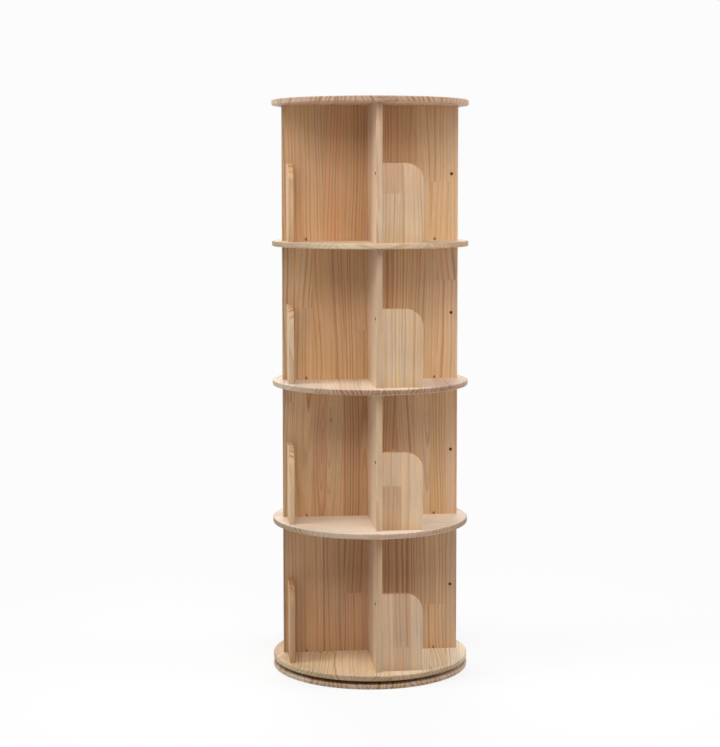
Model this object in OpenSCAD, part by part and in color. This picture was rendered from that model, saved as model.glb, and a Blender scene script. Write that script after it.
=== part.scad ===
// Revolving bookcase: a round four-tier carousel of jointed pine boards that turns on a
// ball-bearing ring above a round base.
// Millimetres. +Z is up and the origin is the centre of the base's underside.
// The viewer stands on the -Y side, which is called the front, with +X on the right.

/* [Overall] */
// Height from the floor to the top surface
overall_h = 1278; // [1100:1:1500]
// Diameter of every round disc
disc_d = 440; // [400:1:520]
// Thickness of the shelf discs, the bottom disc and the top disc
disc_t = 12; // [11:0.5:18]
// Thickness of the base disc
base_t = 9.5; // [9:0.5:20]
// Radius of the rounding on the rims of the discs
rim_r = 3; // [1:0.5:4.5]

/* [Boards] */
// Thickness of the cross panels and the dividers
board_t = 13; // [11:0.5:18]
// Distance from the rim back to each end of a cross panel
panel_setback = 22; // [10:1:40]
// Distance from the rim back to the free end of a divider
divider_setback = 28; // [15:1:45]
// Radius of the eased edges at the free ends of the boards and round the book stops
edge_r = 1.5; // [0.5:0.5:4]

/* [Book stops] */
// Thickness of a book stop
stop_t = 12; // [10:0.5:16]
// Width of a book stop, from the board to its free edge
stop_w = 90; // [60:1:110]
// Height of a book stop above the shelf
stop_h = 171; // [100:1:220]
// Radius of the stop's upper outer corner
stop_corner_r = 40; // [10:1:55]
// Distance from the end of the board back to the stop's outer face
stop_inset = 9; // [4:1:18]

/* [Turntable] */
// Height of the gap between the base and the bottom disc
turntable_gap = 8.5; // [7:0.5:14]
// Diameter of the circle that the balls run on
race_d = 170; // [150:1:220]
// Diameter of each bearing ball
ball_d = 4; // [3:0.5:4.5]
// Number of bearing balls
ball_count = 30; // [12:1:36]
// Radial width of the outer ring, which is fixed to the base
outer_ring_w = 14; // [12:0.5:20]
// Radial width of the inner ring, which is fixed to the bottom disc
inner_ring_w = 22; // [16:0.5:30]
// Thickness of the ball cage
cage_t = 1; // [0.8:0.1:1.2]
// Number of screws in each ring
ring_screw_count = 6; // [4:1:10]
// Diameter of the hole in the base that lets a screwdriver reach the inner ring
access_hole_d = 12; // [9:0.5:16]

/* [Dowels] */
// Diameter of the dowels that join the discs and the boards
dowel_d = 8; // [6:0.5:9]
// Depth that a dowel goes into the edge of a board
dowel_depth = 16; // [10:1:30]
// Depth that a blind dowel goes into the face of a disc
blind_depth = 8; // [5:0.5:9]
// Distance from the axis to the inner dowel of each arm
dowel_inner_r = 45; // [35:1:55]
// Distance from a board's free end to the outer dowel of each arm
dowel_end_inset = 25; // [15:1:35]
// Distance from a board's upper and lower edges to the level dowels at the axis
cross_dowel_inset = 75; // [40:1:100]
// Diameter of the dowel in the foot of each book stop
stop_dowel_d = 6; // [4:0.5:7]
// Depth of that dowel in the foot of the stop
stop_dowel_depth = 15; // [8:1:30]

/* [Screws] */
// Shank diameter of the screws that hold the book stops
stop_screw_d = 3.5; // [3:0.5:5]
// Head diameter of those screws
stop_screw_head_d = 7; // [6:0.5:9]
// Length of those screws
stop_screw_len = 35; // [28:1:45]
// Height that the raised heads of those screws stand out of the board
stop_screw_rise = 1.5; // [0.5:0.5:2]
// Distance from a stop's top edge down to its screw
stop_screw_drop = 22; // [12:1:40]
// Shank diameter of the slanted screws in the foot of a cross panel
toe_screw_d = 3; // [2.5:0.5:3.5]
// Head diameter of the slanted screws
toe_screw_head_d = 5.5; // [5:0.5:6]
// Length of the slanted screws
toe_screw_len = 16; // [12:0.5:17]
// Distance from a panel's end to its slanted screw
toe_screw_inset = 53; // [42:1:80]
// Height above the shelf where a slanted screw enters the panel's face
toe_screw_h = 3; // [3:0.5:6]
// Shank diameter of the screws that hold the turntable rings
ring_screw_d = 3; // [2.5:0.5:4]
// Head diameter of those screws
ring_screw_head_d = 6; // [5:0.5:7]
// Length of those screws
ring_screw_len = 14; // [12:0.5:16]

/* [Clearances] */
// Radial clearance of a dowel or a screw in its hole
fit_gap = 0.1; // [0.05:0.01:0.15]
// Free depth beyond each end of a dowel
dowel_end_gap = 0.5; // [0.2:0.1:1]
// Running clearance of the balls in their races and of the cage between the rings
run_gap = 0.3; // [0.2:0.05:0.4]
// Height that each ring stays clear of the disc it turns past
ring_float = 0.5; // [0.3:0.1:0.8]
// Height that the cage stays clear of the base and of the bottom disc
cage_float = 0.9; // [0.6:0.1:1]

/* [Hidden] */
TIERS = [1, 2, 3, 4];
DISCS = ["bottom_disc", "lower_shelf", "middle_shelf", "upper_shelf", "top_disc"];
// Arms of the carousel, counted anticlockwise seen from above
ARMS = ["front", "right", "back", "left"];

pine = [0.87, 0.72, 0.55];
pine_edge = [0.80, 0.63, 0.45];
beech = [0.83, 0.66, 0.46];
aluminium = [0.75, 0.76, 0.78];
dark_steel = [0.20, 0.19, 0.18];
bright_steel = [0.80, 0.80, 0.82];
nylon = [0.90, 0.89, 0.84];

tier_count = len(TIERS);
carousel_z = base_t + turntable_gap;
// Height of every cross panel and divider
board_h = (overall_h - carousel_z - (tier_count + 1) * disc_t) / tier_count;
panel_reach = disc_d / 2 - panel_setback;
divider_reach = disc_d / 2 - divider_setback;

race_r = race_d / 2;
race_z = base_t + turntable_gap / 2;
race_gap = cage_t + 2 * run_gap;
ring_t = turntable_gap - ring_float;
outer_ring_r = race_r + race_gap / 2 + outer_ring_w;
inner_ring_r = race_r - race_gap / 2 - inner_ring_w;
outer_screw_r = outer_ring_r - (outer_ring_w - ball_d / 2) / 2;
inner_screw_r = inner_ring_r + (inner_ring_w - ball_d / 2) / 2;
first_screw_angle = 180 / ring_screw_count;
cage_h = turntable_gap - 2 * cage_float;

// How far a tool's path is cut past a face, so that no skin is left
cut = 1;

$fn = 96;

// Height of the underside of a disc, where level 0 is the bottom disc and level 4 the top disc
function disc_z(level) = carousel_z + level * (disc_t + board_h);
// Height of the shelf surface that a tier stands on
function shelf_z(tier) = disc_z(tier - 1) + disc_t;
// Distance from the axis to the free end of an arm, where arms 1 and 3 are the cross panel
function arm_reach(arm) = arm % 2 == 0 ? divider_reach : panel_reach;
// Distance from the axis to the middle of an arm's book stop
function stop_mid_r(arm) = arm_reach(arm) - stop_inset - stop_t / 2;

// Turns a thing drawn on the front arm to another arm
module on_arm(arm) {
    rotate([0, 0, 90 * arm]) children();
}

// A disc with rounded upper and lower edges at its rim
module rounded_disc(t) {
    r = min(rim_r, t / 2 - 0.5);
    rotate_extrude($fn = 180) {
        square([disc_d / 2 - r, t]);
        translate([0, r]) square([disc_d / 2, t - 2 * r]);
        for (z = [r, t - r]) translate([disc_d / 2 - r, z]) circle(r, $fn = 32);
    }
}

// Outline of a strip along +x that is centred on y = 0 and has eased corners at its far end
module eased_strip(length, t) {
    translate([0, -t / 2]) square([length - edge_r, t]);
    translate([0, edge_r - t / 2]) square([length, t - 2 * edge_r]);
    for (side = [-1, 1])
        translate([length - edge_r, side * (t / 2 - edge_r)]) circle(edge_r, $fn = 32);
}

// A countersunk wood screw with a cross recess that points down from the face at z = 0. A raised head has a
// crown that stands above the face by the given rise
module screw(len, shank_d, head_d, rise = 0) {
    head_h = (head_d - shank_d) / 2;
    tip_h = shank_d;
    crown_d = head_d * 0.84;
    difference() {
        union() {
            translate([0, 0, -head_h]) cylinder(h = head_h, d1 = shank_d, d2 = head_d, $fn = 32);
            translate([0, 0, tip_h - len]) cylinder(h = len - tip_h - head_h, d = shank_d, $fn = 32);
            translate([0, 0, -len]) cylinder(h = tip_h, d1 = shank_d / 8, d2 = shank_d, $fn = 32);
            if (rise > 0) {
                cylinder(h = rise * 0.6, d1 = head_d, d2 = crown_d, $fn = 32);
                translate([0, 0, rise * 0.6]) cylinder(h = rise * 0.4, d1 = crown_d, d2 = head_d * 0.5, $fn = 32);
            }
        }
        for (a = [0, 90]) rotate([0, 0, a]) translate([0, 0, rise - head_h / 2])
            translate([-head_d * 0.3, -head_d * 0.06, 0]) cube([head_d * 0.6, head_d * 0.12, head_h]);
    }
}

// The hole for a screw, open above the head for the given lead
module screw_hole(len, shank_d, head_d, lead) {
    head_h = (head_d - shank_d) / 2;
    shank_hole_d = shank_d + 2 * fit_gap;
    head_hole_d = head_d + 2 * fit_gap;
    translate([0, 0, -head_h]) cylinder(h = head_h, d1 = shank_hole_d, d2 = head_hole_d, $fn = 32);
    translate([0, 0, -len - fit_gap]) cylinder(h = len + fit_gap, d = shank_hole_d, $fn = 32);
    cylinder(h = lead, d = head_hole_d, $fn = 32);
}

// A round pin with chamfered ends, or its hole, standing on z = 0
module pin(d, len, hole = false) {
    chamfer = 0.6;
    if (hole) {
        translate([0, 0, -dowel_end_gap])
            cylinder(h = len + 2 * dowel_end_gap, d = d + 2 * fit_gap, $fn = 32);
    } else {
        cylinder(h = chamfer, d1 = d - 2 * chamfer, d2 = d, $fn = 32);
        translate([0, 0, chamfer]) cylinder(h = len - 2 * chamfer, d = d, $fn = 32);
        translate([0, 0, len - chamfer]) cylinder(h = chamfer, d1 = d, d2 = d - 2 * chamfer, $fn = 32);
    }
}

// The upright pins of one disc: through pins in a shelf, blind pins in the bottom and top discs
module disc_pins(level, hole = false) {
    below = level == 0 ? -disc_t + blind_depth : dowel_depth;
    above = level == tier_count ? blind_depth : disc_t + dowel_depth;
    for (arm = [0:3]) on_arm(arm)
        for (r = [dowel_inner_r, arm_reach(arm) - dowel_end_inset])
            translate([0, -r, disc_z(level) - below]) pin(dowel_d, above + below, hole);
}

// The level pins that tie both dividers of a tier to its cross panel
module divider_pins(tier, hole = false) {
    len = board_t + 2 * dowel_depth;
    for (z = [cross_dowel_inset, board_h - cross_dowel_inset])
        translate([0, len / 2, shelf_z(tier) + z]) rotate([90, 0, 0]) pin(dowel_d, len, hole);
}

// The pin in the foot of one book stop
module stop_pin(tier, arm, hole = false) {
    on_arm(arm)
        translate([board_t / 2 + stop_w / 2, -stop_mid_r(arm), shelf_z(tier) - blind_depth])
            pin(stop_dowel_d, blind_depth + stop_dowel_depth, hole);
}

// Places a screw where it goes through an arm's board into its book stop
module at_stop_screw(tier, arm) {
    on_arm(arm)
        translate([-board_t / 2, -stop_mid_r(arm), shelf_z(tier) + stop_h - stop_screw_drop])
            rotate([0, -90, 0]) children();
}

// Places a slanted screw at each end of a cross panel's foot, on the front face
module at_foot_screws(tier) {
    sink = toe_screw_head_d / 4;
    for (side = [-1, 1])
        translate([side * (panel_reach - toe_screw_inset), -board_t / 2, shelf_z(tier) + toe_screw_h])
            rotate([45, 0, 0]) translate([0, 0, -sink]) children();
}

module foot_screw_holes(tier) {
    at_foot_screws(tier) screw_hole(toe_screw_len, toe_screw_d, toe_screw_head_d, toe_screw_head_d);
}

// Places a screw at each of a ring's screw places
module at_ring_screws(r) {
    for (i = [0:ring_screw_count - 1]) rotate([0, 0, first_screw_angle + i * 360 / ring_screw_count])
        translate([r, 0, 0]) children();
}

module at_outer_ring_screws() {
    at_ring_screws(outer_screw_r) translate([0, 0, base_t + ring_t]) children();
}

module at_inner_ring_screws() {
    at_ring_screws(inner_screw_r) translate([0, 0, base_t + ring_float]) mirror([0, 0, 1]) children();
}

// The groove that the balls run in
module race_groove() {
    translate([0, 0, race_z]) rotate_extrude($fn = 120)
        translate([race_r, 0]) circle(ball_d / 2 + run_gap, $fn = 32);
}

module ring(inner_r, outer_r, z, t) {
    translate([0, 0, z]) rotate_extrude($fn = 120)
        translate([inner_r, 0]) square([outer_r - inner_r, t]);
}

module base_disc() {
    color(pine) difference() {
        rounded_disc(base_t);
        at_outer_ring_screws() screw_hole(ring_screw_len, ring_screw_d, ring_screw_head_d, cut);
        rotate([0, 0, first_screw_angle]) translate([inner_screw_r, 0, -cut])
            cylinder(h = base_t + 2 * cut, d = access_hole_d, $fn = 48);
    }
}

module turntable_outer_ring() {
    color(aluminium) difference() {
        ring(race_r + race_gap / 2, outer_ring_r, base_t, ring_t);
        race_groove();
        at_outer_ring_screws() screw_hole(ring_screw_len, ring_screw_d, ring_screw_head_d, cut);
    }
}

module turntable_inner_ring() {
    color(aluminium) difference() {
        ring(inner_ring_r, race_r - race_gap / 2, base_t + ring_float, ring_t);
        race_groove();
        at_inner_ring_screws() screw_hole(ring_screw_len, ring_screw_d, ring_screw_head_d, cut);
    }
}

module outer_ring_screws() {
    color(bright_steel) at_outer_ring_screws() screw(ring_screw_len, ring_screw_d, ring_screw_head_d);
}

module inner_ring_screws() {
    color(bright_steel) at_inner_ring_screws() screw(ring_screw_len, ring_screw_d, ring_screw_head_d);
}

module ball_cage() {
    color(nylon) difference() {
        ring(race_r - cage_t / 2, race_r + cage_t / 2, base_t + cage_float, cage_h);
        for (i = [0:ball_count - 1]) rotate([0, 0, i * 360 / ball_count])
            translate([race_r - cage_t, 0, race_z]) rotate([0, 90, 0])
                cylinder(h = 2 * cage_t, d = ball_d + 2 * run_gap, $fn = 32);
    }
}

module bearing_balls() {
    color(bright_steel) for (i = [0:ball_count - 1]) rotate([0, 0, i * 360 / ball_count])
        translate([race_r, 0, race_z]) sphere(d = ball_d, $fn = 32);
}

// A round disc of the carousel with the holes for what stands on it and what hangs below it
module carousel_disc(level) {
    color(pine) difference() {
        translate([0, 0, disc_z(level)]) rounded_disc(disc_t);
        disc_pins(level, hole = true);
        if (level < tier_count) {
            for (arm = [0:3]) stop_pin(level + 1, arm, hole = true);
            foot_screw_holes(level + 1);
        }
        if (level == 0)
            at_inner_ring_screws() screw_hole(ring_screw_len, ring_screw_d, ring_screw_head_d, cut);
    }
}

// The board that runs right across a tier
module cross_panel(tier) {
    color(pine) difference() {
        translate([0, 0, shelf_z(tier)]) linear_extrude(board_h) {
            eased_strip(panel_reach, board_t);
            mirror([1, 0]) eased_strip(panel_reach, board_t);
        }
        disc_pins(tier - 1, hole = true);
        disc_pins(tier, hole = true);
        divider_pins(tier, hole = true);
        for (arm = [1, 3]) at_stop_screw(tier, arm)
            screw_hole(stop_screw_len, stop_screw_d, stop_screw_head_d, cut);
        foot_screw_holes(tier);
    }
}

// The board that runs from the cross panel to the front (arm 0) or to the back (arm 2)
module divider(tier, arm) {
    color(pine) difference() {
        on_arm(arm) translate([0, -board_t / 2, shelf_z(tier)]) rotate([0, 0, -90])
            linear_extrude(board_h) eased_strip(divider_reach - board_t / 2, board_t);
        disc_pins(tier - 1, hole = true);
        disc_pins(tier, hole = true);
        divider_pins(tier, hole = true);
        at_stop_screw(tier, arm) screw_hole(stop_screw_len, stop_screw_d, stop_screw_head_d, cut);
    }
}

// A book stop with its board's face at x = 0, the shelf at z = 0 and its thickness about y = 0.
// Its edges are eased along the upper edge, round the corner and down the free edge.
module stop_board() {
    r = stop_corner_r;
    translate([0, -stop_t / 2, 0]) cube([stop_w - r, stop_t, stop_h - r]);
    translate([stop_w - r, 0, 0]) linear_extrude(stop_h - r) eased_strip(r, stop_t);
    translate([stop_w - r, 0, stop_h - r]) {
        rotate([0, -90, 0]) linear_extrude(stop_w - r) eased_strip(r, stop_t);
        rotate([90, 0, 0]) rotate_extrude(angle = 90) eased_strip(r, stop_t);
    }
}

module book_stop(tier, arm) {
    color(pine_edge) difference() {
        on_arm(arm) translate([board_t / 2, -stop_mid_r(arm), shelf_z(tier)]) stop_board();
        stop_pin(tier, arm, hole = true);
        at_stop_screw(tier, arm) screw_hole(stop_screw_len, stop_screw_d, stop_screw_head_d, cut);
    }
}

module disc_dowels() {
    color(beech) for (level = [0:tier_count]) disc_pins(level);
}

module divider_dowels() {
    color(beech) for (tier = TIERS) divider_pins(tier);
}

module book_stop_dowels() {
    color(beech) for (tier = TIERS) for (arm = [0:3]) stop_pin(tier, arm);
}

module book_stop_screws() {
    color(dark_steel) for (tier = TIERS) for (arm = [0:3])
        at_stop_screw(tier, arm) screw(stop_screw_len, stop_screw_d, stop_screw_head_d, stop_screw_rise);
}

module panel_foot_screws() {
    color(dark_steel) for (tier = TIERS)
        at_foot_screws(tier) screw(toe_screw_len, toe_screw_d, toe_screw_head_d);
}

base_disc();
turntable_outer_ring();
outer_ring_screws();
ball_cage();
bearing_balls();
turntable_inner_ring();
inner_ring_screws();
for (level = [0:tier_count])
    carousel_disc(level);
for (tier = TIERS) {
    cross_panel(tier);
    divider(tier, 0);
    divider(tier, 2);
    for (arm = [0:3])
        book_stop(tier, arm);
}
disc_dowels();
divider_dowels();
book_stop_dowels();
book_stop_screws();
panel_foot_screws();
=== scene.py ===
"""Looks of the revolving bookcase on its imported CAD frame: jointed pine, screws and the turntable."""
import math
import random
from collections import namedtuple

import bpy
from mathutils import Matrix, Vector


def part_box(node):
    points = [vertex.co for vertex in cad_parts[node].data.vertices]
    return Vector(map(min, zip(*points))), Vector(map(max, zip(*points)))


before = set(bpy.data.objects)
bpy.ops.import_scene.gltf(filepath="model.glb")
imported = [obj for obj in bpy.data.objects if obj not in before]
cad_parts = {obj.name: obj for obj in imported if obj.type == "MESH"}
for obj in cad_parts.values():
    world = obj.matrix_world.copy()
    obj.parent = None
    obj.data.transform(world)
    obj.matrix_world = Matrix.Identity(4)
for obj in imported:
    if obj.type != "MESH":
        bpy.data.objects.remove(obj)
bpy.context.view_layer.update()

IMAGE_W = 720
IMAGE_H = 747
# The frame is in metres, and the wood is described in millimetres
MM = 1000.0
# Places along and across a board are kept in lookup ramps, which hold values from 0 to 1 for this length
SPAN = 500.0
UP = (0.0, 0.0, 1.0)
ALONG_X = (1.0, 0.0, 0.0)
ALONG_Y = (0.0, 1.0, 0.0)


class Net:
    """A shader tree written as formulas: each call adds nodes and returns their output."""

    def __init__(self, tree):
        self.tree = tree

    def plug(self, socket, value):
        if isinstance(value, bpy.types.NodeSocket):
            self.tree.links.new(value, socket)
        else:
            socket.default_value = value

    def node(self, kind, inputs=None, **settings):
        made = self.tree.nodes.new("ShaderNode" + kind)
        for name, value in settings.items():
            setattr(made, name, value)
        for name, value in (inputs or {}).items():
            self.plug(made.inputs[name], value)
        return made

    def math(self, operation, *values, clamp=False):
        made = self.node("Math", operation=operation, use_clamp=clamp)
        for socket, value in zip(made.inputs, values):
            self.plug(socket, value)
        return made.outputs[0]

    def add(self, a, b):
        return self.math("ADD", a, b)

    def sub(self, a, b):
        return self.math("SUBTRACT", a, b)

    def mul(self, a, b):
        return self.math("MULTIPLY", a, b)

    def scaled(self, value, factor, offset=0.0):
        return self.math("MULTIPLY_ADD", value, factor, offset)

    def either_side(self, chance, most):
        """A chance from 0 to 1, spread from -most to +most."""
        return self.scaled(chance, 2 * most, -most)

    def vector(self, operation, a, b=None, scale=None):
        made = self.node("VectorMath", operation=operation)
        self.plug(made.inputs[0], a)
        if b is not None:
            self.plug(made.inputs[1], b)
        if scale is not None:
            self.plug(made.inputs["Scale"], scale)
        return made.outputs["Value" if operation in ("DOT_PRODUCT", "LENGTH") else "Vector"]

    def split(self, vector):
        return self.node("SeparateXYZ", {0: vector}).outputs[:3]

    def join(self, x, y, z):
        return self.node("CombineXYZ", {0: x, 1: y, 2: z}).outputs[0]

    def channels(self, colour):
        return self.node("SeparateColor", {0: colour}).outputs[:3]

    def smooth(self, value, low, high, to_low=0.0, to_high=1.0):
        made = self.node("MapRange", {"Value": value, "From Min": low, "From Max": high,
                                      "To Min": to_low, "To Max": to_high}, interpolation_type="SMOOTHSTEP")
        return made.outputs[0]

    def mix(self, factor, a, b, blend="MIX"):
        made = self.node("Mix", data_type="RGBA", blend_type=blend, clamp_factor=True)
        for socket, value in ((0, factor), (6, a), (7, b)):
            self.plug(made.inputs[socket], value)
        return made.outputs[2]

    def tinted(self, colour, tint, factor=None):
        """A colour multiplied by a tint, wholly or as far as the factor says."""
        full = self.mix(1.0, colour, tint, "MULTIPLY")
        return full if factor is None else self.mix(factor, colour, full)

    def noise(self, vector, detail=2.0, roughness=0.5, output="Fac"):
        made = self.node("TexNoise", {"Vector": vector, "Scale": 1.0, "Detail": detail,
                                      "Roughness": roughness})
        return made.outputs[output]

    def pattern(self, point, rate, shift=None, **settings):
        """Noise at a point of the wood, with a rate of its own across, through and along the grain."""
        place = self.vector("MULTIPLY", point, rate)
        if shift is not None:
            place = self.vector("ADD", place, shift)
        return self.noise(place, **settings)

    def noise_line(self, w, detail=1.0):
        made = self.node("TexNoise", {"W": w, "Scale": 1.0, "Detail": detail}, noise_dimensions="1D")
        return made.outputs["Fac"]

    def white(self, w, output="Value"):
        return self.node("TexWhiteNoise", {"W": w}, noise_dimensions="1D").outputs[output]

    def ramp(self, factor, stops, interpolation="LINEAR"):
        made = self.node("ValToRGB", {"Fac": factor})
        line = made.color_ramp
        line.interpolation = interpolation
        line.elements.remove(line.elements[1])
        line.elements[0].position = stops[0][0]
        line.elements[0].color = stops[0][1]
        for position, colour in stops[1:]:
            line.elements.new(position).color = colour
        return made.outputs["Color"]


def linear(red, green, blue):
    """A colour given as 0 to 255 in sRGB, as a linear RGBA tuple."""
    channels = [c / 255.0 for c in (red, green, blue)]
    return tuple(c / 12.92 if c <= 0.04045 else ((c + 0.055) / 1.055) ** 2.4 for c in channels) + (1.0,)


def ramp_place(x):
    """Where a distance from the middle of a board lies in a lookup ramp."""
    return x / SPAN + 0.5


def tint_row(*places):
    """Lookup row of tints at distances from the middle of a board."""
    return [(ramp_place(x), tint + (1.0,)) for x, tint in places]


# Growth rings and fibres of the pine, in millimetres

# What keeps apart the random numbers of the staves, of the two pieces at a finger joint and of each use
STAVE_SEED = 97.0
BLOCK_SEED = 13.7
CUT_SEED = 0.41
HUE_SEED = 0.63
DRIFT_SEED = 0.37
# Least distance of the pith from a stave's middle and how much further it may be, beside and behind it
PITH_BESIDE = 38.0
PITH_BESIDE_SPREAD = 150.0
PITH_BEHIND = 8.0
PITH_BEHIND_SPREAD = 110.0
# Share of those distances that a flat sawn stave lacks
FLAT_NEARER_BESIDE = 0.88
FLAT_NEARER_BEHIND = 0.7
# How far the pith wanders along a stave
PITH_DRIFT = 26.0
# Steepest slope of the rings along any stave, and of the pith of a flat sawn one, to either side
RING_SLANT = 0.035
PITH_SLANT = 0.08
# Place along the grain at which those slopes shift nothing
SLANT_START = 150.0
# Small waves of the rings, with the extra share of a flat sawn stave
RIPPLE = 1.1
FLAT_RIPPLE = 1.5
# Wide and narrow years: how far the rings shift, and how fast that changes with the radius
YEAR_SHIFT = 9.0
YEAR_RATE = 0.055
# Late wood in each ring: the shares of the ring over which it darkens, and over which it ends
LATE_DARKENS = (0.30, 0.88)
LATE_ENDS = (0.84, 1.0)
# Strength of single rings and of whole staves: how much it varies, and its least value
RING_STRENGTH = (0.85, 0.2)
STAVE_STRENGTH = (0.7, 0.65)
# Fine lines inside a ring, from wet and dry spells
FINE_RATE = 0.9
FINE_STRENGTH = 0.2
# Rates of the patterns per millimetre across, through and along the grain
DRIFT_RATE = (0.006, 0.006, 0.0022)
RIPPLE_RATE = (0.05, 0.05, 0.008)
FIBRE_RATE = (1.1, 1.1, 0.03)
CANAL_RATE = (0.85, 0.85, 0.05)
CLOUD_RATE = (0.03, 0.03, 0.006)
STREAK_RATE = (0.13, 0.13, 0.005)
# Values of the canal pattern between which the dash of a resin canal starts to show, and how much it shows
CANAL_START = (0.70, 0.78)
CANAL_SHARE = 0.35

# Joints between staves, in millimetres

# Pitch and depth of a finger joint's zigzag
FINGER_PITCH = 3.2
FINGER_DEPTH = 9.0
# Length of the pieces of a stave, over that of any board, so that no stave has a second joint
BLOCK_LENGTH = 600.0
# Added to a joint's place in a lookup row, which holds nothing below 0
JOINT_MARGIN = 20.0
# Place of the joint of a stave without one, below the board
NO_JOINT = -FINGER_DEPTH
# Distances over which the line of a finger joint fades, and how dark it is
JOINT_FADE = (0.1, 0.6)
JOINT_DARKNESS = 0.06
# A stave whose chance is past these has a dark glue line, where pitch darkens the wood beside it
PLAIN_CHANCE = 0.93
DARK_CHANCE = 0.98
# Darkness and reach of a plain glue line and of a dark one, and the share of the reach where it fades
GLUE_DARKNESS = (0.08, 0.8)
GLUE_REACH = (0.9, 2.6)
GLUE_FADE = (0.15, 1.0)

# Colours of the pine

# From the darkest staves to the palest, with the board's own colour in the middle
OWN_TONE = 0.5
STAVE_TINTS = [(0.0, (0.84, 0.73, 0.65, 1.0)), (OWN_TONE, (1.0, 1.0, 1.0, 1.0)),
               (1.0, (1.14, 1.15, 1.17, 1.0))]
# How far chance moves a stave's tone, to either side
SHADE_SPREAD = 0.12
# Staves may turn a little pink or orange: the chances where that starts and is full, and how far it goes
PINK_TINT = (1.02, 0.95, 0.98, 1.0)
PINK_CHANCE = (0.55, 1.0)
ORANGE_TINT = (1.01, 0.95, 0.84, 1.0)
ORANGE_CHANCE = (0.45, 0.0)
HUE_SHARE = 0.6
# Late wood against early wood
LATE_TINT = (0.62, 0.43, 0.22, 1.0)
STREAK_TINTS = [(0.30, (1.05, 0.97, 0.87, 1.0)), (0.70, (0.96, 1.02, 1.12, 1.0))]
CLOUD_TINTS = [(0.25, (0.93, 0.92, 0.90, 1.0)), (0.75, (1.06, 1.06, 1.06, 1.0))]
FIBRE_TINTS = [(0.25, (0.91, 0.87, 0.82, 1.0)), (0.75, (1.07, 1.09, 1.13, 1.0))]
CANAL_BROWN = linear(140, 92, 58)
GLUE_BROWN = linear(112, 72, 46)
KNOT_BROWN = linear(104, 66, 42)

# Surface of the pine

# Roughness of the wood, what the fibres add to it, what late wood takes off and what end grain adds
WOOD_ROUGHNESS = 0.44
FIBRE_ROUGHNESS = 0.16
LATE_SMOOTHNESS = 0.07
END_ROUGHNESS = 0.12
# Height of the fibres and of late wood, and depth of glue lines and resin canals, as shares of the relief
FIBRE_HEIGHT = 0.5
LATE_HEIGHT = 0.35
GLUE_DEPTH = 0.6
CANAL_DEPTH = 0.3
# Relief of the whole surface in metres, and how strongly it shows
RELIEF = 0.0002
RELIEF_STRENGTH = 0.35
WOOD_SPECULAR = 0.35

PINE_INPUTS = (("Point", "NodeSocketVector"), ("Stave", "NodeSocketColor"), ("Block", "NodeSocketColor"),
               ("Base", "NodeSocketColor"), ("Pitch", "NodeSocketFloat"), ("Contrast", "NodeSocketFloat"),
               ("Flat Share", "NodeSocketFloat"))
PINE_OUTPUTS = (("Color", "NodeSocketColor"), ("Roughness", "NodeSocketFloat"), ("Height", "NodeSocketFloat"))


def finger_joint(net, through, along, joint_at):
    """Number of the piece that a point is in, -1 below the joint and 0 above it, and its distance from the
    joint, which is straight on the faces and a zigzag on the thin edges."""
    finger = net.mul(net.math("PINGPONG", through, FINGER_PITCH), FINGER_DEPTH / FINGER_PITCH)
    past_joint = net.sub(net.add(along, finger), net.scaled(joint_at, SPAN, -JOINT_MARGIN))
    pieces = net.mul(past_joint, 1 / BLOCK_LENGTH)
    nearest = net.mul(net.math("ROUND", pieces), BLOCK_LENGTH)
    return net.math("FLOOR", pieces), net.math("ABSOLUTE", net.sub(past_joint, nearest))


def pith_offset(net, chance, least, spread, flat, flat_nearer):
    """Distance of the pith from a stave's middle, to one side or the other."""
    centred = net.sub(chance, 0.5)
    distance = net.scaled(net.math("ABSOLUTE", centred), spread, least)
    offset = net.mul(net.math("SIGN", centred), distance)
    return net.mul(offset, net.scaled(flat, -flat_nearer, 1.0))


def ring_radius(net, point, local, seed, chances, flat_share):
    """Distance from the pith. The rings are round a pith beside the stave, which wanders as it rises. In a
    flat sawn stave it lies behind the middle and leans, so that the rings meet in arches."""
    _, through, along = net.split(point)
    lean, rise, cut = net.channels(net.white(net.add(seed, CUT_SEED), "Color"))
    flat = net.math("LESS_THAN", cut, flat_share)
    pith_a = pith_offset(net, chances[0], PITH_BESIDE, PITH_BESIDE_SPREAD, flat, FLAT_NEARER_BESIDE)
    pith_b = pith_offset(net, chances[1], PITH_BEHIND, PITH_BEHIND_SPREAD, flat, FLAT_NEARER_BEHIND)
    drift_shift = net.join(seed, net.mul(seed, DRIFT_SEED), 0.0)
    drift = net.pattern(point, DRIFT_RATE, drift_shift, output="Color")
    drift_a, drift_b, _ = net.split(net.vector("SUBTRACT", drift, (0.5, 0.5, 0.5)))
    climbed = net.sub(along, SLANT_START)
    slant_a = net.mul(net.either_side(lean, RING_SLANT), climbed)
    slant_b = net.mul(net.mul(flat, net.either_side(rise, PITH_SLANT)), climbed)
    ring_a = net.add(net.add(net.sub(local, pith_a), net.mul(drift_a, PITH_DRIFT)), slant_a)
    ring_b = net.add(net.add(net.sub(through, pith_b), net.mul(drift_b, PITH_DRIFT)), slant_b)
    ripple = net.either_side(net.pattern(point, RIPPLE_RATE, net.join(seed, 0.0, seed)), RIPPLE)
    ripple = net.mul(ripple, net.scaled(flat, FLAT_RIPPLE, 1.0))
    radius = net.add(net.vector("LENGTH", net.join(ring_a, ring_b, 0.0)), ripple)
    years = net.noise_line(net.add(net.mul(radius, YEAR_RATE), seed))
    return net.add(radius, net.mul(years, YEAR_SHIFT))


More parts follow.
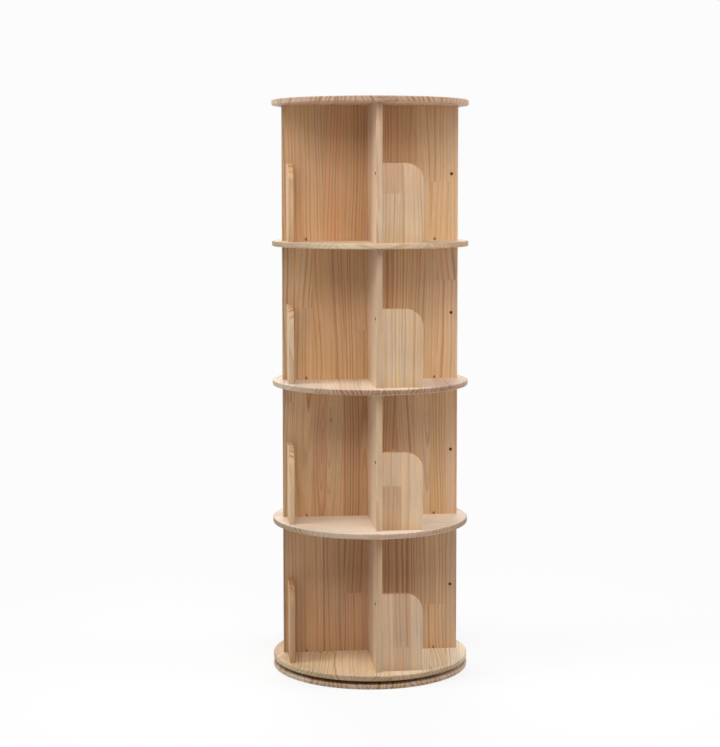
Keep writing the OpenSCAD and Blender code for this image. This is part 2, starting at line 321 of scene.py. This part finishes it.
def late_wood(net, radius, pitch, seed, stave_chance):
    """Share of late wood at a distance from the pith, for rings of a given pitch."""
    rings = net.math("DIVIDE", radius, pitch)
    phase = net.math("FRACT", rings)
    shape = net.mul(net.smooth(phase, *LATE_DARKENS), net.smooth(phase, *LATE_ENDS, 1.0, 0.0))
    ring_chance = net.white(net.add(net.math("FLOOR", rings), seed))
    strength = net.mul(net.scaled(ring_chance, *RING_STRENGTH), net.scaled(stave_chance, *STAVE_STRENGTH))
    fine = net.noise_line(net.add(net.mul(radius, FINE_RATE), seed), detail=2.0)
    return net.math("ADD", net.mul(shape, strength), net.either_side(fine, FINE_STRENGTH), clamp=True)


def early_wood(net, base, tone, stave_id):
    """Colour of early wood: each stave a little lighter or darker, pinker or more orange than the board."""
    chances = net.white(net.scaled(stave_id, STAVE_SEED, HUE_SEED), "Color")
    pink_chance, orange_chance, shade_chance = net.channels(chances)
    shade = net.math("ADD", tone, net.either_side(shade_chance, SHADE_SPREAD), clamp=True)
    early = net.tinted(base, net.ramp(shade, STAVE_TINTS))
    early = net.tinted(early, PINK_TINT, net.smooth(pink_chance, *PINK_CHANCE, 0.0, HUE_SHARE))
    return net.tinted(early, ORANGE_TINT, net.smooth(orange_chance, *ORANGE_CHANCE, 0.0, HUE_SHARE))


def glue_lines(net, edge_gap, joint_gap, stave_id):
    """Darkness of the glue lines beside a stave and at its finger joint."""
    darkness = net.smooth(stave_id, PLAIN_CHANCE, DARK_CHANCE, *GLUE_DARKNESS)
    reach = net.smooth(stave_id, PLAIN_CHANCE, DARK_CHANCE, *GLUE_REACH)
    beside = net.smooth(net.math("DIVIDE", edge_gap, reach), *GLUE_FADE, 1.0, 0.0)
    at_joint = net.smooth(joint_gap, *JOINT_FADE, JOINT_DARKNESS, 0.0)
    return net.math("MAXIMUM", net.mul(beside, darkness), at_joint)


def make_pine_group():
    """Jointed pine at a point (across the staves, through the board, along the grain) in millimetres."""
    tree = bpy.data.node_groups.new("jointed_pine", "ShaderNodeTree")
    for way, sockets in (("INPUT", PINE_INPUTS), ("OUTPUT", PINE_OUTPUTS)):
        for name, kind in sockets:
            tree.interface.new_socket(name, in_out=way, socket_type=kind)
    net = Net(tree)
    given = tree.nodes.new("NodeGroupInput").outputs
    point = given["Point"]
    across, through, along = net.split(point)
    stave_mid, stave_half, stave_id = net.channels(given["Stave"])
    joint_at, tone_below, tone_above = net.channels(given["Block"])

    local = net.sub(across, net.scaled(stave_mid, SPAN, -SPAN / 2))
    edge_gap = net.sub(net.mul(stave_half, SPAN), net.math("ABSOLUTE", local))
    block, joint_gap = finger_joint(net, through, along, joint_at)
    above = net.math("ADD", block, 1.0, clamp=True)
    tone = net.add(tone_below, net.mul(above, net.sub(tone_above, tone_below)))
    seed = net.add(net.mul(stave_id, STAVE_SEED), net.mul(block, BLOCK_SEED))
    chances = net.channels(net.white(seed, "Color"))

    radius = ring_radius(net, point, local, seed, chances, given["Flat Share"])
    late = net.mul(late_wood(net, radius, given["Pitch"], seed, chances[2]), given["Contrast"])
    fibre = net.pattern(point, FIBRE_RATE, detail=4.0, roughness=0.65)
    canal = net.smooth(net.pattern(point, CANAL_RATE, detail=1.0), *CANAL_START)
    cloud = net.pattern(point, CLOUD_RATE, net.join(0.0, seed, 0.0), detail=3.0, roughness=0.6)
    streak = net.pattern(point, STREAK_RATE, net.join(seed, 0.0, 0.0), roughness=0.6)
    glue = glue_lines(net, edge_gap, joint_gap, stave_id)

    early = early_wood(net, given["Base"], tone, stave_id)
    colour = net.mix(late, early, net.tinted(early, LATE_TINT))
    for pattern, tints in ((streak, STREAK_TINTS), (cloud, CLOUD_TINTS), (fibre, FIBRE_TINTS)):
        colour = net.tinted(colour, net.ramp(pattern, tints))
    colour = net.mix(net.mul(canal, CANAL_SHARE), colour, CANAL_BROWN)
    colour = net.mix(glue, colour, GLUE_BROWN)

    rough = net.add(net.scaled(fibre, FIBRE_ROUGHNESS, WOOD_ROUGHNESS), net.mul(late, -LATE_SMOOTHNESS))
    height = net.add(net.mul(fibre, FIBRE_HEIGHT), net.mul(late, LATE_HEIGHT))
    height = net.sub(height, net.mul(glue, GLUE_DEPTH))
    height = net.sub(height, net.mul(canal, CANAL_DEPTH))
    shown = tree.nodes.new("NodeGroupOutput").inputs
    for name, value in (("Color", colour), ("Roughness", rough), ("Height", height)):
        net.plug(shown[name], value)
    return tree


PINE = make_pine_group()


def new_material(name):
    """An empty material with its own Principled BSDF, and the net that its nodes are added with."""
    material = bpy.data.materials.new(name)
    material.use_nodes = True
    material.node_tree.nodes.clear()
    net = Net(material.node_tree)
    shader = net.node("BsdfPrincipled")
    net.plug(net.node("OutputMaterial").inputs["Surface"], shader.outputs[0])
    return material, net, shader


def dress(node, material):
    """Gives every material slot of a CAD node the same material."""
    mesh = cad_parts[node].data
    if not mesh.materials:
        mesh.materials.append(material)
    for index in range(len(mesh.materials)):
        mesh.materials[index] = material


# Staves of the boards, in millimetres

# Mean width of a stave, and the least and greatest share of it that a stave has
STAVE_WIDTH = 42.0
WIDTH_RANGE = (0.86, 1.14)
# Least and greatest share of the first stave that the board's edge cuts off
FIRST_CUT = (0.1, 0.9)
# Share of the staves that have a finger joint, and the shares of the board's length between which it lies
JOINT_SHARE = 0.3
JOINT_ZONE = (0.08, 0.92)
# Most that a stave's tone differs from the board's own, and the tones of the two pieces at a joint differ
TONE_SPREAD = 0.2
JOINT_TONE_SPREAD = 0.1
# Boards on which the photo shows staves: their widths from one edge, and for some of them by number the place
# of a finger joint with the tone below and above it
SHOWN_STAVES = {
    "cross_panel_1": ((48, 44, 45, 42, 44, 50, 50, 45, 28),
                      {3: (134, 0.55, 0.25), 5: (NO_JOINT, 0.25, 0.25), 7: (103, 0.62, 0.45)}),
    "cross_panel_2": ((26, 38, 34, 37, 41, 41, 40, 36, 40, 36, 31),
                      {0: (262, 0.50, 0.48), 4: (NO_JOINT, 0.30, 0.30), 6: (152, 0.40, 0.30),
                       7: (NO_JOINT, 0.38, 0.38), 8: (NO_JOINT, 0.38, 0.38)}),
    "cross_panel_3": ((28, 38, 42, 30, 30, 42, 38, 36, 36, 27, 43, 6),
                      {1: (161, 0.42, 0.55), 5: (111, 0.35, 0.48), 8: (116, 0.58, 0.47),
                       10: (222, 0.56, 0.47)}),
    "cross_panel_4": ((45, 45, 48, 47, 45, 38, 33, 30, 46, 23),
                      {0: (250, 0.50, 0.42), 3: (NO_JOINT, 0.40, 0.40), 4: (NO_JOINT, 0.35, 0.35),
                       5: (NO_JOINT, 0.26, 0.26), 8: (131, 0.55, 0.62)}),
    "front_book_stop_4": ((42, 48), {0: (107, 0.56, 0.22)}),
    "front_book_stop_2": ((42, 48), {0: (98, 0.18, 0.56)}),
}
# Staves whose glue line is dark
DARK_GLUE = {"cross_panel_1": (1,)}

# How a board lies: the rotation and offset that turn its place into a point of the wood, its edges across the
# staves, its length along them, the directions of its grain and of its thickness, and the radius of a disc
Board = namedtuple("Board", "turn start low high length grain face radius")


def any_tone(rng):
    return OWN_TONE + rng.uniform(-1, 1) * TONE_SPREAD


def random_staves(rng, span, length):
    """Widths and finger joints of staves that fill a span."""
    widths, joints = [], {}
    while sum(widths) < span:
        widths.append(STAVE_WIDTH * rng.uniform(*WIDTH_RANGE))
        if rng.random() < JOINT_SHARE:
            below = any_tone(rng)
            place = rng.uniform(*JOINT_ZONE) * length
            above = below + rng.uniform(-JOINT_TONE_SPREAD, JOINT_TONE_SPREAD)
            joints[len(widths) - 1] = (place, below, above)
    return widths, joints


def stave_rows(name, seed, board):
    """Lookup rows for the staves between two edges: (middle, half width, chance) and (joint, tones)."""
    rng = random.Random(seed)
    if name in SHOWN_STAVES:
        edge = board.low
        widths, joints = SHOWN_STAVES[name]
    else:
        edge = board.low - rng.uniform(*FIRST_CUT) * STAVE_WIDTH
        widths, joints = random_staves(rng, board.high - edge, board.length)
    staves, blocks = [], []
    for number, wide in enumerate(widths):
        start = max(0.0, ramp_place(edge))
        tone = any_tone(rng)
        joint, below, above = joints.get(number, (NO_JOINT, tone, tone))
        chance = 1.0 if number in DARK_GLUE.get(name, ()) else rng.uniform(0.0, PLAIN_CHANCE)
        staves.append((start, (ramp_place(edge + wide / 2), wide / 2 / SPAN, chance, 1.0)))
        blocks.append((start, ((joint + JOINT_MARGIN) / SPAN, below, above, 1.0)))
        edge += wide
    return staves, blocks


# Faces, edges and ends of the boards

# How squarely a surface looks along the grain where end grain starts and where it is full, and how squarely
# it looks along the board's thickness where an edge is still full and where it ends
END_TURN = (0.2, 0.85)
EDGE_TURN = (0.72, 0.95)
# A disc gets painted shade, a little darker near its rim, from this share of its radius
RIM_SHADE_FROM = 0.78
RIM_PAINTED_SHADE = (0.87, 0.88, 0.89, 1.0)
# A pin knot: radius of its core and of its rim in millimetres, how dark it is, and the factors on distances
# from it, which stretch it through the board and up the grain
KNOT_CORE = 1.0
KNOT_RIM = 4.0
KNOT_DARKNESS = 0.5
KNOT_SQUEEZE = (1.0, 0.0, 0.6)
EVEN = (1.0, 1.0, 1.0)
# Painted light and shade on the rims of all discs, from left to right
PAINTED_RIM_LIGHT = tint_row((-205.0, (0.87, 0.99, 1.09)), (-150.0, (1.03, 1.16, 1.29)),
                     (-40.0, (1.09, 1.15, 1.21)), (60.0, EVEN), (140.0, (0.96, 0.93, 0.92)),
                     (205.0, (0.87, 0.85, 0.83)))
# Height of the boards of a tier. The book stops count as cut from the same stock
STOCK_LENGTH = 300.0


def facing(net, normal, direction):
    """How squarely a surface looks along a direction, either way."""
    return net.math("ABSOLUTE", net.vector("DOT_PRODUCT", normal, direction))


def make_pine(name, board, seed, base, pitch=7.5, contrast=0.65, end_boost=1.8, flat_share=0.06,
              edge_tint=(0.90, 0.89, 0.87, 1.0), end_tint=(0.76, 0.73, 0.72, 1.0), fade=None, sides=None,
              knots=()):
    """A board's own material. pitch is the width of a ring and contrast the strength of late wood, which
    end_boost multiplies on end grain. flat_share of the staves are flat sawn. fade holds painted light and
    shade along the board from its foot, and sides tints across the bookcase from left to right, as lookup
    rows, which on the panels and the bottom disc are painted light and shade. The edge tint is painted
    light and shade on the edges, and the end tint darkens end grain, partly as painted shade. knots are the
    places of pin knots, across and up."""
    material, net, shader = new_material("pine_" + name)
    place = net.node("TexCoord").outputs
    point = net.node("Mapping", {"Vector": place["Object"], "Location": board.start, "Rotation": board.turn,
                                 "Scale": (MM, MM, MM)}).outputs[0]
    across, _, along = net.split(point)
    where = net.scaled(across, 1 / SPAN, 0.5)
    beside = net.scaled(net.split(place["Object"])[0], MM / SPAN, 0.5)
    end = net.smooth(facing(net, place["Normal"], board.grain), *END_TURN)
    edge = net.smooth(facing(net, place["Normal"], board.face), *EDGE_TURN, 1.0, 0.0)
    staves, blocks = stave_rows(name, seed, board)
    group = net.node("Group", {"Point": point, "Stave": net.ramp(where, staves, "CONSTANT"),
                               "Block": net.ramp(where, blocks, "CONSTANT"), "Base": base, "Pitch": pitch,
                               "Contrast": net.scaled(end, contrast * (end_boost - 1.0), contrast),
                               "Flat Share": flat_share}, node_tree=PINE)
    colour = group.outputs["Color"]
    # Painted light and shade along the board: lighter at its foot, darker higher up
    if fade:
        colour = net.tinted(colour, net.ramp(net.scaled(along, 1 / board.length), fade))
    # Tints across the bookcase; on the panels and the bottom disc they are painted light and shade
    if sides:
        colour = net.tinted(colour, net.ramp(beside, sides))
    if board.radius:
        # Painted shade on the disc's faces near its rim
        reach = net.vector("LENGTH", net.vector("MULTIPLY", place["Object"], (MM, MM, 0.0)))
        rim_shade = net.smooth(reach, RIM_SHADE_FROM * board.radius, board.radius)
        colour = net.tinted(colour, RIM_PAINTED_SHADE, net.mul(rim_shade, net.sub(1.0, edge)))
        # Painted light and shade on the rim, lighter toward the left and darker toward the right
        colour = net.tinted(colour, net.ramp(beside, PAINTED_RIM_LIGHT), edge)
    for knot_x, knot_z in knots:
        offset = net.vector("MULTIPLY", net.vector("SUBTRACT", point, (knot_x, 0.0, knot_z)), KNOT_SQUEEZE)
        knot = net.smooth(net.vector("LENGTH", offset), KNOT_CORE, KNOT_RIM, KNOT_DARKNESS, 0.0)
        colour = net.mix(knot, colour, KNOT_BROWN)
    # Painted shade on the edges of the boards and on the rims of the discs, and a painted highlight on the
    # edges of the left book stops
    colour = net.tinted(colour, edge_tint, edge)
    # Darker end grain: partly the wood's own darker end grain, partly painted shade on the rims of the discs
    colour = net.tinted(colour, end_tint, end)
    rough = net.math("ADD", group.outputs["Roughness"], net.mul(end, END_ROUGHNESS), clamp=True)
    bump = net.node("Bump", {"Strength": RELIEF_STRENGTH, "Distance": RELIEF,
                             "Height": group.outputs["Height"]})
    net.plug(shader.inputs["Base Color"], colour)
    net.plug(shader.inputs["Roughness"], rough)
    net.plug(shader.inputs["Normal"], bump.outputs[0])
    shader.inputs["Specular IOR Level"].default_value = WOOD_SPECULAR
    return material


def upright_pine(node, seed, along_x, **looks):
    """Dresses a board that lies along X or along Y in pine with upright grain."""
    low, high = (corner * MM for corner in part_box(node))
    mid = (low + high) / 2
    if along_x:
        board = Board(turn=(0.0, 0.0, 0.0), start=(0.0, -mid.y, -low.z), low=low.x, high=high.x,
                      length=STOCK_LENGTH, grain=UP, face=ALONG_Y, radius=None)
    else:
        board = Board(turn=(0.0, 0.0, -math.pi / 2), start=(0.0, mid.x, -low.z), low=low.y, high=high.y,
                      length=STOCK_LENGTH, grain=UP, face=ALONG_X, radius=None)
    dress(node, make_pine(node, board, seed, **looks))


def disc_pine(node, seed, angle, **looks):
    """Dresses a round disc in pine, with its grain turned by an angle from the Y axis."""
    low, high = (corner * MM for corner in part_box(node))
    radius = (high.x - low.x) / 2
    a = math.radians(angle)
    grain = (-math.sin(a), math.cos(a), 0.0)
    board = Board(turn=(math.pi / 2, -a, 0.0), start=(0.0, (low.z + high.z) / 2, radius), low=-radius,
                  high=radius, length=2 * radius, grain=grain, face=UP, radius=radius)
    dress(node, make_pine(node, board, seed, **looks))


# Pine of the six discs, from the floor up

# The edge tints of the discs are painted shade on their rims, and their end tints darken end grain, partly as
# painted shade
PALE = linear(229, 215, 196)
disc_pine("base_disc", seed=1, angle=4.0, base=linear(199, 177, 154), pitch=9.0, contrast=1.0)
# The bottom disc's tints from left to right are painted light, paler and bluer toward its right side
disc_pine("bottom_disc", seed=2, angle=7.0, base=linear(224, 202, 173), pitch=5.5, contrast=0.85,
          end_boost=2.0, flat_share=0.12, edge_tint=(0.74, 0.71, 0.67, 1.0), end_tint=(0.64, 0.61, 0.58, 1.0),
          sides=tint_row((-130.0, (0.96, 0.94, 0.87)), (40.0, EVEN), (140.0, (1.08, 1.18, 1.21))))
disc_pine("lower_shelf", seed=3, angle=87.0, base=PALE, contrast=0.3, end_boost=3.5,
          edge_tint=(0.49, 0.41, 0.34, 1.0), end_tint=(0.86, 0.84, 0.82, 1.0))
disc_pine("middle_shelf", seed=4, angle=3.0, base=PALE, pitch=8.0, contrast=0.5, end_boost=4.0,
          edge_tint=(0.66, 0.57, 0.52, 1.0), end_tint=(0.60, 0.51, 0.46, 1.0),
          sides=tint_row((90.0, EVEN), (150.0, (0.90, 0.83, 0.80))))
disc_pine("upper_shelf", seed=5, angle=88.0, base=linear(207, 184, 154), contrast=0.4,
          edge_tint=(0.80, 0.77, 0.73, 1.0), end_tint=(0.80, 0.77, 0.73, 1.0))
disc_pine("top_disc", seed=6, angle=2.0, base=linear(203, 174, 150), pitch=10.0, end_boost=2.4)

# Pine of the boards and book stops

# Tints along the boards: the disc below brightens their foot, and the disc above shades their top
PANEL_FADE = [(0.0, (1.15, 1.18, 1.16, 1.0)), (0.3, (1.05, 1.06, 1.05, 1.0)),
              (0.6, (0.93, 0.92, 0.92, 1.0)), (1.0, (0.94, 0.95, 0.95, 1.0))]
DIVIDER_FADE = [(0.0, (1.02, 1.10, 1.14, 1.0)), (0.4, (0.97, 0.98, 0.98, 1.0)),
                (1.0, (0.89, 0.90, 0.91, 1.0))]
STOP_FADE = [(0.05, (1.05, 1.08, 1.06, 1.0)), (0.25, (0.94, 0.95, 0.95, 1.0)),
             (0.5, (0.97, 0.96, 0.96, 1.0))]
# The dividers' darker edges are painted shade
DIVIDER_LOOKS = {"fade": DIVIDER_FADE, "contrast": 0.5, "flat_share": 0.0,
                 "edge_tint": (0.80, 0.76, 0.71, 1.0)}
# Looks of all book stops, and those that the left ones have apart from the others, whose lighter edges are a
# painted highlight
STOP_LOOKS = {"contrast": 0.55, "flat_share": 0.0, "end_tint": (0.95, 0.91, 0.88, 1.0)}
LEFT_STOP_LOOKS = {"end_boost": 5.0, "edge_tint": (1.07, 1.07, 1.08, 1.0)}
OTHER_STOP_LOOKS = {"end_boost": 3.0, "fade": STOP_FADE}
CREAM = linear(213, 189, 162)
# For each tier from the foot up: the colours of its boards, darker in the foot tier, the painted light on the
# panel toward its right end, and what else differs in the panel
TIERS = (
    {"panel": linear(194, 158, 123), "divider": linear(202, 176, 149), "stop": linear(196, 169, 141),
     "left_stop": linear(168, 137, 102), "painted_right_light": (1.07, 1.17, 1.20),
     "panel_looks": {"contrast": 0.85, "flat_share": 0.0}},
    {"panel": linear(202, 168, 132), "divider": CREAM, "stop": linear(203, 173, 141),
     "left_stop": linear(192, 166, 134), "painted_right_light": (1.06, 1.12, 1.13),
     "panel_looks": {"contrast": 0.9, "flat_share": 0.6, "pitch": 6.0, "knots": ((-90.0, 219.0),)}},
    {"panel": linear(212, 177, 138), "divider": CREAM, "stop": linear(208, 181, 149),
     "left_stop": linear(194, 168, 136), "painted_right_light": EVEN, "panel_looks": {"contrast": 0.9}},
    {"panel": linear(211, 175, 135), "divider": CREAM, "stop": linear(201, 171, 140),
     "left_stop": linear(205, 176, 141), "painted_right_light": EVEN, "panel_looks": {"flat_share": 0.0}},
)
# First seeds of the boards' random numbers
PANEL_SEED = 10
DIVIDER_SEEDS = {"front": 20, "back": 30}
STOP_SEED = 40
ARMS = ("front", "right", "back", "left")
# Arms whose book stop lies along X
STOPS_ALONG_X = ("front", "back")


def panel_painted_light(painted_right_light):
    """Painted light and shade across a cross panel: darker at its left end, and paler and bluer toward its
    right end.
    """
    return tint_row((-198.0, (0.70, 0.77, 0.86)), (-187.0, (0.93, 0.95, 0.98)), (-165.0, EVEN),
                    (50.0, EVEN), (130.0, painted_right_light), (165.0, painted_right_light), (198.0, (0.97, 1.03, 1.15)))


for tier, tones in enumerate(TIERS, 1):
    upright_pine(f"cross_panel_{tier}", seed=PANEL_SEED + tier, along_x=True, base=tones["panel"],
                 fade=PANEL_FADE, sides=panel_painted_light(tones["painted_right_light"]), **tones["panel_looks"])
    for side, first_seed in DIVIDER_SEEDS.items():
        upright_pine(f"{side}_divider_{tier}", seed=first_seed + tier, along_x=False, base=tones["divider"],
                     **DIVIDER_LOOKS)
    for number, arm in enumerate(ARMS):
        if arm == "left":
            looks = {"base": tones["left_stop"], **LEFT_STOP_LOOKS}
        else:
            looks = {"base": tones["stop"], **OTHER_STOP_LOOKS}
        upright_pine(f"{arm}_book_stop_{tier}", seed=STOP_SEED + len(ARMS) * tier + number,
                     along_x=arm in STOPS_ALONG_X, **looks, **STOP_LOOKS)


# Metal, nylon and beech

# How much darker and lighter than its own colour a plain material gets
DARKER = 0.82
LIGHTER = 1.12
# Share of the fine speckle in its colour, against wide patches, and their rate per metre
SPECKLE_SHARE = 0.7
PATCH_RATE = 60.0
# Values of the noise between which colour and roughness run
NOISE_RANGE = (0.3, 0.7)
BUMP_STRENGTH = 0.3
# Rates of the speckle per metre: the same all ways, in turned rings and in upright fibres
FINE_GRAIN = (2500.0, 2500.0, 2500.0)
TURNED_GRAIN = (400.0, 400.0, 4000.0)
FIBRE_GRAIN = (1500.0, 1500.0, 200.0)


def plain_material(name, colour, metallic, roughness, grain, bump_depth):
    """A material whose colour, roughness and height vary with fine noise in the object's own place."""
    material, net, shader = new_material(name)
    place = net.node("TexCoord").outputs["Object"]
    speckle = net.noise(net.vector("MULTIPLY", place, grain), detail=4.0, roughness=0.6)
    patches = net.noise(net.vector("SCALE", place, scale=PATCH_RATE))
    dark = tuple(c * DARKER for c in colour[:3]) + (1.0,)
    light = tuple(min(1.0, c * LIGHTER) for c in colour[:3]) + (1.0,)
    shade = net.math("ADD", net.scaled(speckle, SPECKLE_SHARE), net.scaled(patches, 1.0 - SPECKLE_SHARE),
                     clamp=True)
    bump = net.node("Bump", {"Strength": BUMP_STRENGTH, "Distance": bump_depth, "Height": speckle})
    net.plug(shader.inputs["Base Color"], net.ramp(shade, list(zip(NOISE_RANGE, (dark, light)))))
    net.plug(shader.inputs["Roughness"], net.smooth(speckle, *NOISE_RANGE, *roughness))
    net.plug(shader.inputs["Normal"], bump.outputs[0])
    shader.inputs["Metallic"].default_value = metallic
    return material


# Each material's name, colour, metallic share, least and greatest roughness, grain and bump depth in metres,
# and the nodes that wear it
PLAIN_FINISHES = (
    ("dark_screw", linear(88, 58, 38), 1.0, (0.35, 0.55), FINE_GRAIN, 0.0001, ("book_stop_screws",)),
    ("brown_screw", linear(156, 114, 78), 0.4, (0.45, 0.60), FINE_GRAIN, 0.0001, ("panel_foot_screws",)),
    ("zinc_screw", linear(196, 198, 204), 1.0, (0.25, 0.40), FINE_GRAIN, 0.0001,
     ("outer_ring_screws", "inner_ring_screws")),
    ("satin_aluminium", linear(200, 202, 206), 1.0, (0.30, 0.45), TURNED_GRAIN, 0.0001,
     ("turntable_outer_ring", "turntable_inner_ring")),
    ("ball_steel", linear(212, 214, 220), 1.0, (0.08, 0.16), FINE_GRAIN, 0.00002, ("bearing_balls",)),
    ("cage_nylon", linear(224, 222, 210), 0.0, (0.45, 0.60), FINE_GRAIN, 0.0001, ("ball_cage",)),
    ("dowel_beech", linear(212, 172, 124), 0.0, (0.50, 0.70), FIBRE_GRAIN, 0.0002,
     ("disc_dowels", "divider_dowels", "book_stop_dowels")),
)
for *finish, nodes in PLAIN_FINISHES:
    material = plain_material(*finish)
    for node in nodes:
        dress(node, material)


# Floor, world and lamps

WHITE = (1.0, 1.0, 1.0, 1.0)
# Level of the pale background, and share of the lit floor that shows in it, so that the shadow is soft
BACKGROUND = 0.973
SHADOW_SHARE = 0.25
# The shadow fades out between these distances from the axis
SHADOW_FADE = (0.4, 1.2)
# The floor reaches this far from the axis, in metres
FLOOR_HALF = 8.0
FLOOR_GREY = (0.86, 0.86, 0.86, 1.0)
WORLD_LIGHT = 0.06
# Place on the axis of the bookcase that the lamps point at
LAMP_TARGET = (0.0, 0.0, 0.7)
COOL = (0.96, 1.0, 1.05)


def seen_ray(net):
    """1 for what the camera sees, directly or in a gloss or a glass."""
    rays = net.node("LightPath").outputs
    both = net.math("MAXIMUM", rays["Is Camera Ray"], rays["Is Glossy Ray"])
    return net.math("MAXIMUM", both, rays["Is Transmission Ray"])


def make_floor():
    mesh = bpy.data.meshes.new("floor")
    corners = [(x * FLOOR_HALF, y * FLOOR_HALF, 0.0) for x, y in ((-1, -1), (1, -1), (1, 1), (-1, 1))]
    mesh.from_pydata(corners, [], [(0, 1, 2, 3)])
    floor = bpy.data.objects.new("floor", mesh)
    bpy.context.scene.collection.objects.link(floor)
    material = bpy.data.materials.new("pale_floor")
    material.use_nodes = True
    material.node_tree.nodes.clear()
    net = Net(material.node_tree)
    lit = net.node("BsdfDiffuse", {"Color": FLOOR_GREY}).outputs[0]
    glow = net.node("Emission", {"Color": WHITE, "Strength": BACKGROUND}).outputs[0]
    reach = net.vector("LENGTH", net.node("TexCoord").outputs["Object"])
    far = net.smooth(reach, *SHADOW_FADE, 1.0 - SHADOW_SHARE, 1.0)
    shown = net.node("MixShader", {0: far, 1: lit, 2: glow}).outputs[0]
    final = net.node("MixShader", {0: seen_ray(net), 1: lit, 2: shown}).outputs[0]
    net.plug(net.node("OutputMaterial").inputs["Surface"], final)
    mesh.materials.append(material)


def make_world():
    world = bpy.data.worlds.new("studio")
    world.use_nodes = True
    world.node_tree.nodes.clear()
    net = Net(world.node_tree)
    light = net.node("Background", {"Color": WHITE, "Strength": WORLD_LIGHT}).outputs[0]
    backdrop = net.node("Background", {"Color": WHITE, "Strength": BACKGROUND}).outputs[0]
    final = net.node("MixShader", {0: seen_ray(net), 1: light, 2: backdrop}).outputs[0]
    net.plug(net.node("OutputWorld").inputs["Surface"], final)
    bpy.context.scene.world = world


def make_lamp(name, place, side, power, colour=(1.0, 1.0, 1.0)):
    """A square soft box that points at the bookcase."""
    lamp = bpy.data.lights.new(name, "AREA")
    lamp.shape = "SQUARE"
    lamp.size = side
    lamp.energy = power
    lamp.color = colour
    made = bpy.data.objects.new(name, lamp)
    bpy.context.scene.collection.objects.link(made)
    made.location = place
    made.visible_camera = False
    towards = Vector(LAMP_TARGET) - made.location
    made.rotation_euler = towards.to_track_quat("-Z", "Y").to_euler()


make_floor()
make_world()
make_lamp("upper_front_box", place=(0.0, -2.5, 3.2), side=2.5, power=80.0)
make_lamp("upper_back_box", place=(0.0, 2.5, 3.2), side=2.5, power=80.0)
make_lamp("upper_left_box", place=(-2.4, -0.6, 2.9), side=2.0, power=58.0)
make_lamp("left_box", place=(-3.2, -0.6, 1.9), side=2.2, power=22.0)
make_lamp("right_box", place=(3.2, -0.6, 1.9), side=2.2, power=80.0, colour=COOL)


# Camera, from a pinhole fitted to the photo

# Focal length, and the column of the picture that the camera's axis meets, in pixels
FOCAL_PX = 1733.5
AXIS_PX = 370.18
# Sensor in millimetres
SENSOR = 36.0
CAMERA_PLACE = (-0.4016, -3.8734, 1.0949)
# Degrees that the camera looks down, and to the right of the Y axis
LOOKS_DOWN = 5.06
LOOKS_RIGHT = 5.92
# Share of the picture's height by which its frame is moved down
SHIFT_DOWN = 0.05

camera_data = bpy.data.cameras.new("camera")
camera_data.sensor_width = SENSOR
camera_data.lens = FOCAL_PX / IMAGE_H * SENSOR
camera_data.shift_x = (IMAGE_W / 2 - AXIS_PX) / IMAGE_H
camera_data.shift_y = -SHIFT_DOWN
camera = bpy.data.objects.new("camera", camera_data)
bpy.context.scene.collection.objects.link(camera)
camera.location = CAMERA_PLACE
camera.rotation_euler = (math.radians(90.0 - LOOKS_DOWN), 0.0, math.radians(-LOOKS_RIGHT))
bpy.context.scene.camera = camera
bpy.context.scene.view_settings.view_transform = "Standard"
